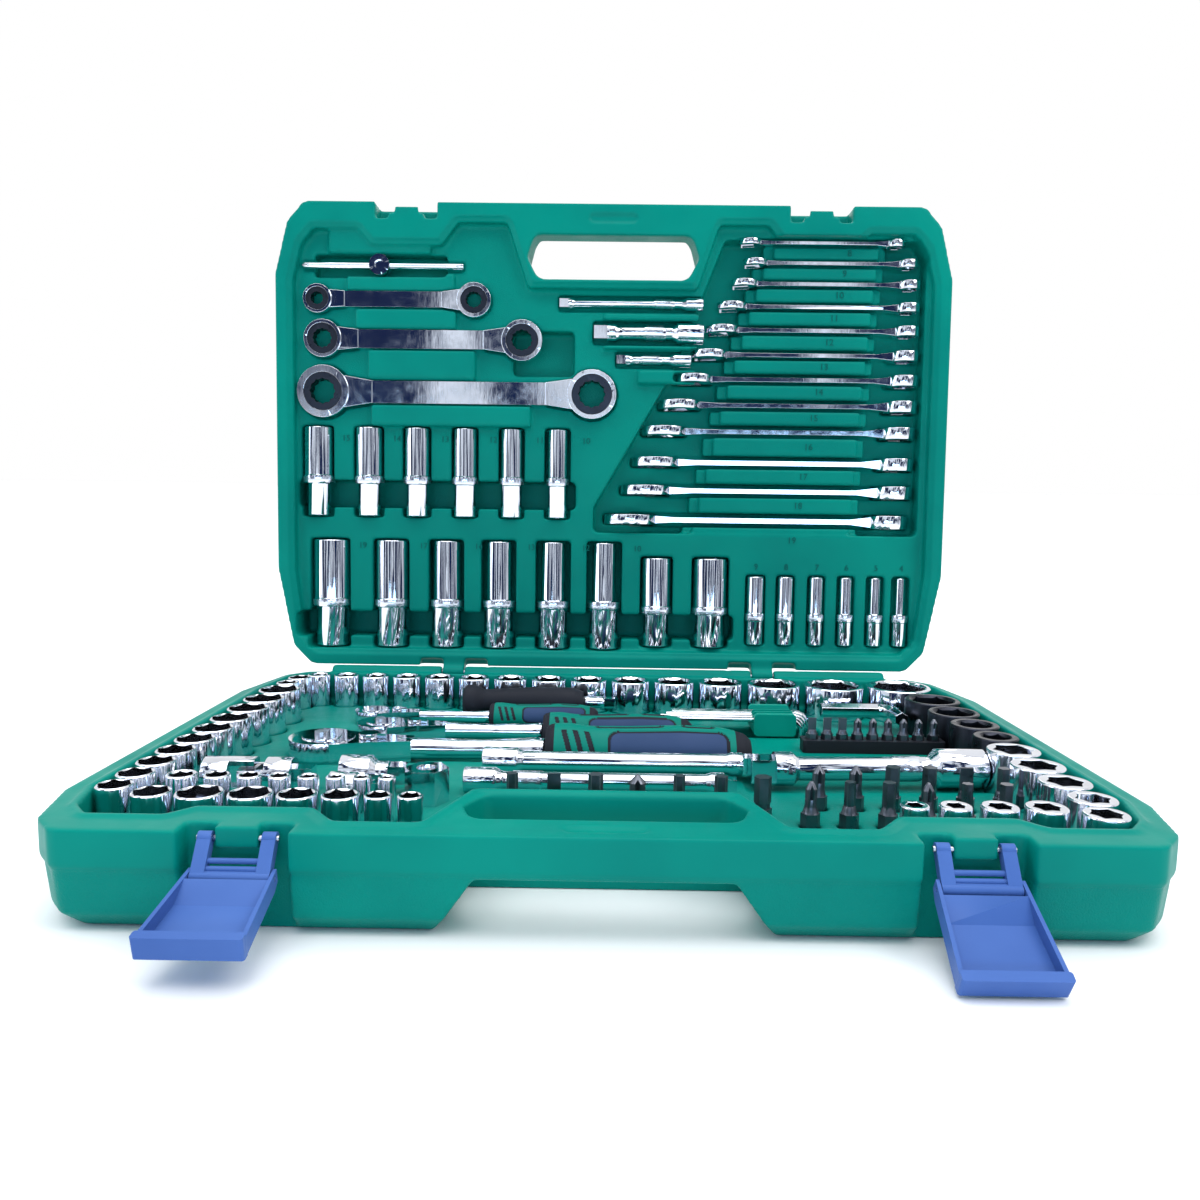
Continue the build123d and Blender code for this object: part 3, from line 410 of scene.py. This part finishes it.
def socket_bands(node):
    """The band round each deep socket, where its two diameters meet."""
    bands = []
    for low, high in loose_boxes(node, LID):
        radius = (high.x - low.x) / 2 + RING_PROUD
        middle = (low + high) / 2
        middle.y = low.y + RING_SHARE * (high.y - low.y) - RING_BACK
        bands.append((radius, RING_LENGTH, LID @ Matrix.Translation(middle) @ ALONG_V))
    return bands


def bar_band(placement, bar, turn):
    """The band on an extension bar, a little past its socket end, which is 2.4 radii long."""
    socket_end, end_radius, radius = bar
    middle = (end_radius * 2.4 + BAR_BAND_MIDDLE) * MM
    return ((radius + BAR_BAND_PROUD) * MM, BAR_BAND_LENGTH * MM,
            placement @ Matrix.Translation(Vector(socket_end) * MM) @ Matrix.Rotation(radians(turn), 4, "Z")
            @ ALONG_X @ Matrix.Translation((0, 0, middle)))


# ---------------------------------------------------------------- moulded numbers
FIELD_HEIGHT = -10         # height in the lid's frame of its general floor, in millimetres
RIB_HEIGHT = -11           # height of the numbers between the combination wrenches
NUMBER_RISE = 0.4 * MM
WRENCH_NUMBER_SIZE = 6.5 * MM
SOCKET_NUMBER_SIZE = 6.0 * MM


def number_mesh(number, size):
    """One number as a mesh, centred on the origin."""
    curve = bpy.data.curves.new("number", "FONT")
    curve.body = str(number)
    curve.size = size
    curve.extrude = NUMBER_RISE
    curve.align_x = "CENTER"
    curve.align_y = "CENTER"
    work = bpy.data.objects.new("number", curve)
    bpy.context.scene.collection.objects.link(work)
    mesh = baked(work)
    bpy.data.objects.remove(work)
    return mesh


def numbers(name, entries, size):
    """entries: (number, x, distance from the hinge edge, height), in millimetres of the lid's frame."""
    points, faces = [], []
    for number, x, along, height in entries:
        mesh = number_mesh(number, size)
        start = len(points)
        spot = LID @ Matrix.Translation(Vector((x, along, height)) * MM)
        points += [spot @ vert.co for vert in mesh.vertices]
        faces += [tuple(start + index for index in face.vertices) for face in mesh.polygons]
        bpy.data.meshes.remove(mesh)
    made = bpy.data.meshes.new(name)
    made.from_pydata(points, [], faces)
    # the numbers' darker green is painted shade, not a colour of their own
    object_from(name, made, shaded_number_green, "lid")


def socket_numbers(node, sizes, aside, below_top):
    """A number beside or above each deep socket, from the left."""
    boxes = sorted(loose_boxes(node, LID), key=lambda box: box[0].x)
    return [(size, (low.x + high.x) / 2 / MM + aside, high.y / MM - below_top, FIELD_HEIGHT)
            for size, (low, high) in zip(sizes, boxes)]


def wrench_numbers():
    """8 to 18 between the combination wrenches, and 19 below the last."""
    boxes = sorted(loose_boxes("combination_wrenches", LID), key=lambda box: -box[0].y)
    alongs = [(low.y + high.y) / 2 / MM for low, high in boxes]
    first_x, shift = 169, 3.2
    entries = []
    for place_in_row, size in enumerate(range(8, 19)):
        pitch = alongs[place_in_row] - alongs[place_in_row + 1]
        entries.append((size, first_x - shift * place_in_row, alongs[place_in_row] - 0.48 * pitch,
                        RIB_HEIGHT))
    entries.append((19, 133, alongs[-1] - 14, FIELD_HEIGHT))
    return entries


# ---------------------------------------------------------------- ratchet grips
# distance along the grip and radius, for the largest ratchet, in millimetres
GRIP_PROFILE = ((128.3, 13.4), (131, 15.7), (142, 16.1), (154, 14.5), (176, 14.7), (205, 15.7), (228, 14.9),
                (241, 11.9), (245, 8.0), (245.9, 4.0), (245.9, 0.05))
GRIP_START, GRIP_END = 128.3, 246
INLAY_DEPTH, GROOVE_DEPTH, SLASH_DEPTH, RUBBER_DEPTH = 0.35, 0.8, 0.6, 0.25
RUBBER, GREEN, INLAY = 0, 1, 2     # material numbers
SURFACE_RADIUS = 15.5              # turns an angle into a distance over the surface
# each inlay: its middle along the grip and over from the top, half sizes, corner and black outline
INLAY_MIDDLE, INLAY_OVER = 198, 16.5
INLAY_HALF_LENGTH, INLAY_HALF_WIDTH = 27, 4.0
INLAY_CORNER, OUTLINE_WIDTH = 5.5, 1.7
OVALS = ((176, 17), (215, 7))      # middle and half length of the black ovals on top
OVAL_RADIUS = 2.7
SLASHES = (137, 143.5, 150)
SLASH_LEAN, SLASH_HALF_WIDTH = 0.25, 1.5
SLASH_FROM, SLASH_TO = 7, 24
GREEN_FROM, GREEN_TO, GREEN_OVER = 133.5, 236, 31
PATTERN_END = 240                  # no steps in the surface past here
FLATNESS = 0.02                    # how far the grip's section leans from round towards square
ROWS_ALONG, HALF_AROUND = 230, 100


def grip_zone(along, angle):
    """Which material lies at a point of the grip, and how deep it is set. angle 0 is the top."""
    over = radians(abs(angle)) * SURFACE_RADIUS
    reach = max(abs(along - INLAY_MIDDLE) - INLAY_HALF_LENGTH, 0)
    rise = max(abs(over - INLAY_OVER) - INLAY_HALF_WIDTH, 0)
    edge = (reach * reach + rise * rise) ** 0.5 - INLAY_CORNER
    if edge < 0:
        return INLAY, INLAY_DEPTH
    if edge < OUTLINE_WIDTH:
        return RUBBER, GROOVE_DEPTH
    for centre, half in OVALS:
        run = max(abs(along - centre) - half, 0)
        if (run * run + (over * 1.1) ** 2) ** 0.5 < OVAL_RADIUS:
            return RUBBER, SLASH_DEPTH
    for first in SLASHES:
        aside = along - first - SLASH_LEAN * over
        if abs(aside) < SLASH_HALF_WIDTH and SLASH_FROM < over < SLASH_TO:
            return RUBBER, SLASH_DEPTH
    if GREEN_FROM < along < GREEN_TO and over < GREEN_OVER:
        return GREEN, 0.0
    return RUBBER, RUBBER_DEPTH


def grip(name, fineness):
    """A two-colour ratchet grip with its inlay, slashes and ovals as real steps in the surface."""
    node = f"ratchet_{name}_grip"
    low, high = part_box(node)
    scale = (high.x - low.x) / ((GRIP_END - GRIP_START) * MM)
    axis = Vector((0, (low.y + high.y) / 2, (low.z + high.z) / 2))
    start = low.x - GRIP_START * scale * MM
    steps = round(ROWS_ALONG * fineness)
    around = 2 * round(HALF_AROUND * fineness)
    knots = np.array(GRIP_PROFILE)
    alongs = np.concatenate([np.linspace(128.4, 244, steps), [245, 245.6, 245.9]])
    radii = np.interp(alongs, knots[:, 0], knots[:, 1])
    blur = np.ones(9) / 9
    radii[4:-7] = np.convolve(radii, blur, "same")[4:-7]
    rows = []
    for along, radius in zip(alongs, radii):
        row = []
        for step in range(around):
            angle = 360 * step / around
            angle = angle - 360 if angle > 180 else angle
            depth = grip_zone(along, angle)[1] if along < PATTERN_END else 0.0
            reach = (radius * (1 - FLATNESS * (1 - cos(radians(4 * angle)))) - depth) * scale * MM
            row.append(axis + Vector((start + along * scale * MM, -reach * sin(radians(angle)),
                                      reach * cos(radians(angle)))))
        rows.append(row)
    points, faces = ring_mesh(rows)
    faces.append(tuple(range(around)))
    faces.append(tuple(reversed(range(len(points) - around, len(points)))))
    mesh = bpy.data.meshes.new(node + "_detailed")
    mesh.from_pydata(points, [], faces)
    for material in (rubber, grip_green, grip_inlay):
        mesh.materials.append(material)
    for face in mesh.polygons:
        row, step = divmod(face.index, around)
        if row < len(alongs) - 1:
            angle = 360 * (step + 0.5) / around
            angle = angle - 360 if angle > 180 else angle
            face.material_index = grip_zone((alongs[row] + alongs[row + 1]) / 2, angle)[0]
    mesh.shade_smooth()
    piece = object_from(node + "_detailed", mesh, rubber, BODY_OF[node])
    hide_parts(node)


# ---------------------------------------------------------------- camera, light and floor
EYE = Vector((-0.1, -533.3, 180.9)) * MM
PITCH, YAW, ROLL = radians(6.72), radians(-0.49), radians(0.74)
FLOOR_REACH = 40.0
FLOOR_DROP = 0.2 * MM
# name, place, size, power, tint and the point it looks at, in metres and watts
LAMPS = (("key", (1.1, -0.6, 1.4), (0.9, 0.9), 12, (1, 1, 1), (0, 0, 0.1)),
         ("fill", (-1.4, -0.2, 0.8), (0.5, 1.2), 5, (0.8, 0.9, 1), (0, 0, 0.12)),
         ("top", (0.1, 0.3, 1.8), (1.6, 0.6), 9, (1, 1, 1), (0, 0, 0)),
         ("front", (0.0, -1.8, 0.35), (1.6, 0.25), 7, (0.45, 0.72, 1), (0, 0.1, 0.1)),
         ("back", (0.2, 1.9, 1.2), (1.4, 0.9), 8, (1, 1, 1), (0, 0.1, 0.2)))


def place_camera():
    """The photo's view: a little above the tray, looking slightly down."""
    camera = bpy.data.cameras.new("camera")
    camera.lens = 29.42
    camera.sensor_width = 36
    viewer = bpy.data.objects.new("camera", camera)
    bpy.context.scene.collection.objects.link(viewer)
    forward = Vector((sin(YAW) * cos(PITCH), cos(YAW) * cos(PITCH), -sin(PITCH)))
    right = Vector((cos(YAW), -sin(YAW), 0))
    up = right.cross(forward)
    turned_right = cos(ROLL) * right + sin(ROLL) * up
    turned_up = cos(ROLL) * up - sin(ROLL) * right
    axes = Matrix((turned_right, turned_up, -forward)).transposed()
    viewer.matrix_world = Matrix.Translation(EYE) @ axes.to_4x4()
    bpy.context.scene.camera = viewer


def hang_lamps():
    """Five soft area lamps and a broad overhead light."""
    for name, spot, size, power, tint, aim in LAMPS:
        light = bpy.data.lights.new(name, "AREA")
        light.shape = "RECTANGLE"
        light.size, light.size_y = size
        light.energy = power
        light.color = tint
        lamp = bpy.data.objects.new(name, light)
        lamp.location = spot
        lamp.rotation_euler = (Vector(aim) - Vector(spot)).to_track_quat("-Z", "Y").to_euler()
        bpy.context.scene.collection.objects.link(lamp)
    sky = bpy.data.lights.new("sky", "SUN")
    sky.angle = radians(50)
    sky.energy = 1.5
    overhead = bpy.data.objects.new("sky", sky)
    overhead.rotation_euler = (radians(18), radians(-8), 0)
    bpy.context.scene.collection.objects.link(overhead)


def surround():
    """White behind the object; upright bright and dark panels in front, for the metal to reflect."""
    world = bpy.data.worlds.new("studio")
    world.use_nodes = True
    tree = world.node_tree
    background = tree.nodes["Background"]
    background.inputs["Strength"].default_value = 1.0
    direction = tree.nodes.new("ShaderNodeTexCoord").outputs["Generated"]
    split = tree.nodes.new("ShaderNodeSeparateXYZ")
    tree.links.new(direction, split.inputs["Vector"])
    upright = tree.nodes.new("ShaderNodeMapping")
    upright.inputs["Scale"].default_value = (4.2, 1.6, 0.9)
    upright.inputs["Location"].default_value = (0.35, 0.0, 0.2)
    tree.links.new(direction, upright.inputs["Vector"])
    panels = tree.nodes.new("ShaderNodeTexNoise")
    panels.inputs["Scale"].default_value = 2.6
    panels.inputs["Detail"].default_value = 1.5
    tree.links.new(upright.outputs["Vector"], panels.inputs["Vector"])
    bright = spread(tree, panels.outputs["Fac"], 0.47, 0.54, 0, 1)
    streaks = blend_colours(tree, bright, (0.012, 0.022, 0.07), (0.86, 0.92, 1.0))
    sky_blend = tree.nodes.new("ShaderNodeMix")
    sky_blend.data_type = "RGBA"
    sky_blend.inputs["B"].default_value = (1, 1, 1, 1)
    tree.links.new(streaks, sky_blend.inputs["A"])
    tree.links.new(spread(tree, split.outputs["Y"], -0.25, 0.25, 0, 1), sky_blend.inputs["Factor"])
    tree.links.new(sky_blend.outputs["Result"], background.inputs["Color"])
    bpy.context.scene.world = world
    bpy.context.scene.view_settings.view_transform = "Standard"


def lay_floor():
    """A wide pale floor just under the part."""
    mesh = bpy.data.meshes.new("floor")
    corners = [(x * FLOOR_REACH, y * FLOOR_REACH, 0) for x, y in ((-1, -1), (1, -1), (1, 1), (-1, 1))]
    mesh.from_pydata(corners, [], [(0, 1, 2, 3)])
    floor = bpy.data.objects.new("floor", mesh)
    floor.location.z = -FLOOR_DROP
    pale = shader("floor", (0.93, 0.94, 0.95), 0.7)[0]
    mesh.materials.append(pale)
    bpy.context.scene.collection.objects.link(floor)


# ---------------------------------------------------------------- build everything
place_camera()
hang_lamps()
surround()
lay_floor()
GRIP_BAR = 319 * MM        # middle of each grip bar, from the hinge edge
LATCH_EDGE, TOOL_EDGE = 0.5 * MM, 0.3 * MM
moulded_shell("case_base", UPRIGHT, base_green, CASE_DEPTH / 2 - GRIP_BAR, HINGE.z)
moulded_shell("case_lid", LID, lid_green, GRIP_BAR, 0.0)
for node, thing in NODES.items():
    if node in ("case_base", "case_lid"):
        continue
    dress(node, FINISH[SLOT_OF[node]])
    soften(node, LATCH_EDGE if "latch_l" in node else TOOL_EDGE)

for node in ("deep_sockets_half_inch", "deep_sockets_three_eighths", "deep_sockets_quarter_inch",
             "spark_plug_sockets"):
    knurling(node + "_knurling", socket_bands(node), "lid")
knurling("short_bar_knurling", [bar_band(LID, bar, 180) for bar in SHORT_BARS], "lid")
knurling("long_bar_knurling", [bar_band(UPRIGHT, LONG_BAR, LONG_BAR_TURN),
                               bar_band(UPRIGHT, LIGHT_BAR, LIGHT_BAR_TURN)], "case_base")
numbers("wrench_numbers", wrench_numbers(), WRENCH_NUMBER_SIZE)
numbers("socket_numbers",
        socket_numbers("deep_sockets_three_eighths", (15, 14, 13, 12, 11, 10), 20.7, 8)
        + socket_numbers("deep_sockets_half_inch", (19, 17, 14, 13, 12, 10), 24, 4)
        + socket_numbers("deep_sockets_quarter_inch", (9, 8, 7, 6, 5, 4), 0, -7),
        SOCKET_NUMBER_SIZE)
for name, fineness in (("half_inch", 1.0), ("three_eighths", 0.78), ("quarter_inch", 0.6)):
    grip(name, fineness)
